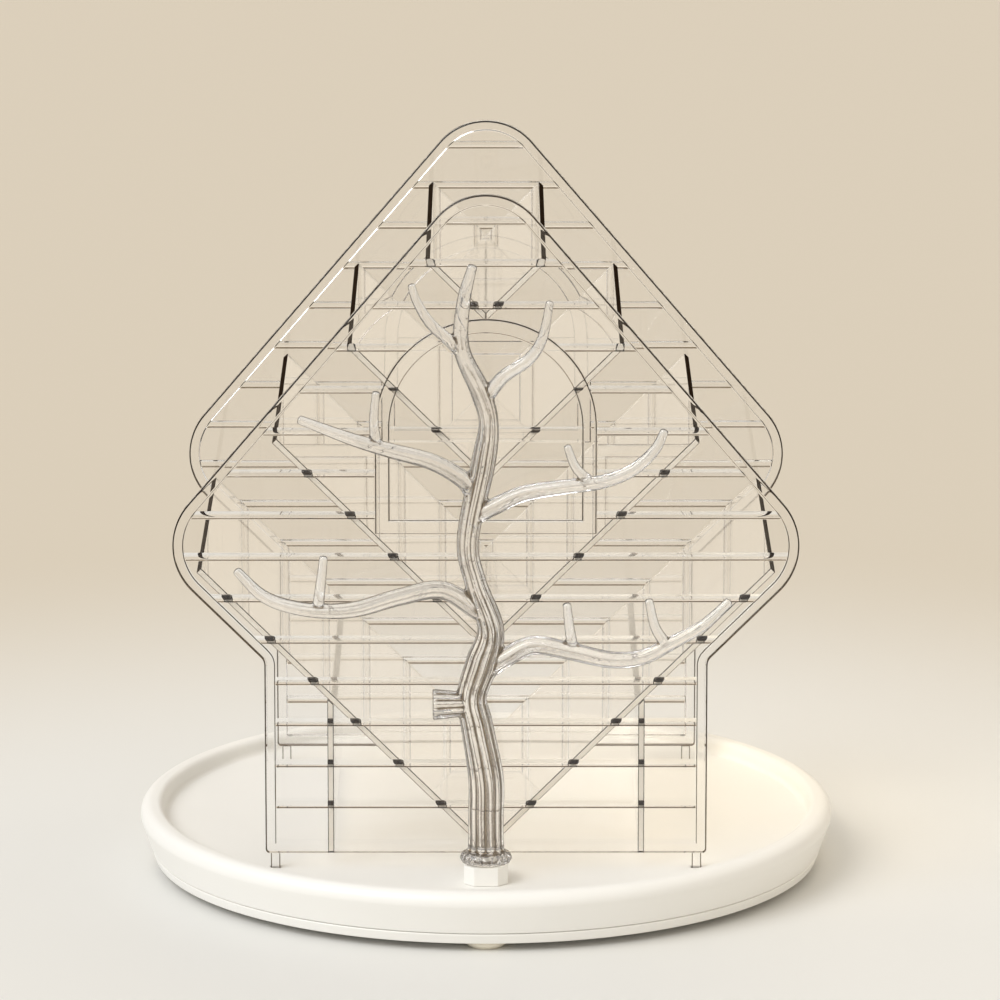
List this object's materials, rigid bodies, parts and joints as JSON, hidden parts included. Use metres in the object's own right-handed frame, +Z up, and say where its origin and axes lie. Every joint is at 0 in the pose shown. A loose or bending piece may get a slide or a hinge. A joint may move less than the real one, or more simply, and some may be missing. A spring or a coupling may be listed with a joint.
{
  "type": "rotating makeup organizer",
  "caption": "Round tray that turns on a low base, with a clear gable-ended rack of nested V shelves and a clear lift-out tree for hanging jewellery.",
  "frame": {"origin": "on the table under the feet, on the turning axis", "axes": "+Z up along the turning axis, -Y towards the front with the jewellery tree, +X to the right"},
  "size_m": [0.2496, 0.2496, 0.2579],
  "materials": {
    "cream_plastic": "satin moulded",
    "pale_rubber": "matt",
    "white_acetal": "waxy moulded",
    "bright_steel": "zinc plated",
    "clear_acrylic": "clear polished sheet",
    "clear_tree": "clear moulded"
  },
  "bodies": {
    "base": {"base_plate": "cream_plastic", "foot_pads": "pale_rubber", "glide_ring": "white_acetal", "pivot_bush": "white_acetal"},
    "turntable": {"tray": "cream_plastic", "pivot_washer": "bright_steel", "pivot_screw": "bright_steel", "tree_socket": "cream_plastic"},
    "rack": {"front_panel": "clear_acrylic", "back_panel": "clear_acrylic", "shelf_1_left": "clear_acrylic", "shelf_1_right": "clear_acrylic", "shelf_2_left": "clear_acrylic", "shelf_2_right": "clear_acrylic", "shelf_3_left": "clear_acrylic", "shelf_3_right": "clear_acrylic", "shelf_4_left": "clear_acrylic", "shelf_4_right": "clear_acrylic", "side_plate_left": "clear_acrylic", "side_plate_right": "clear_acrylic"},
    "tree": {"jewellery_tree": "clear_tree"}
  },
  "joints": [
    {"name": "tray_spin", "type": "hinge", "parent": "base", "child": "turntable", "pos_m": [0, 0, 0], "axis": [0, 0, 1], "continuous": true},
    {"name": "rack_lift", "type": "slide", "parent": "turntable", "child": "rack", "axis": [0, 0, 1], "range_m": [0, 0.04]},
    {"name": "tree_lift", "type": "slide", "parent": "turntable", "child": "tree", "axis": [0, 0, 1], "range_m": [0, 0.03]}
  ]
}
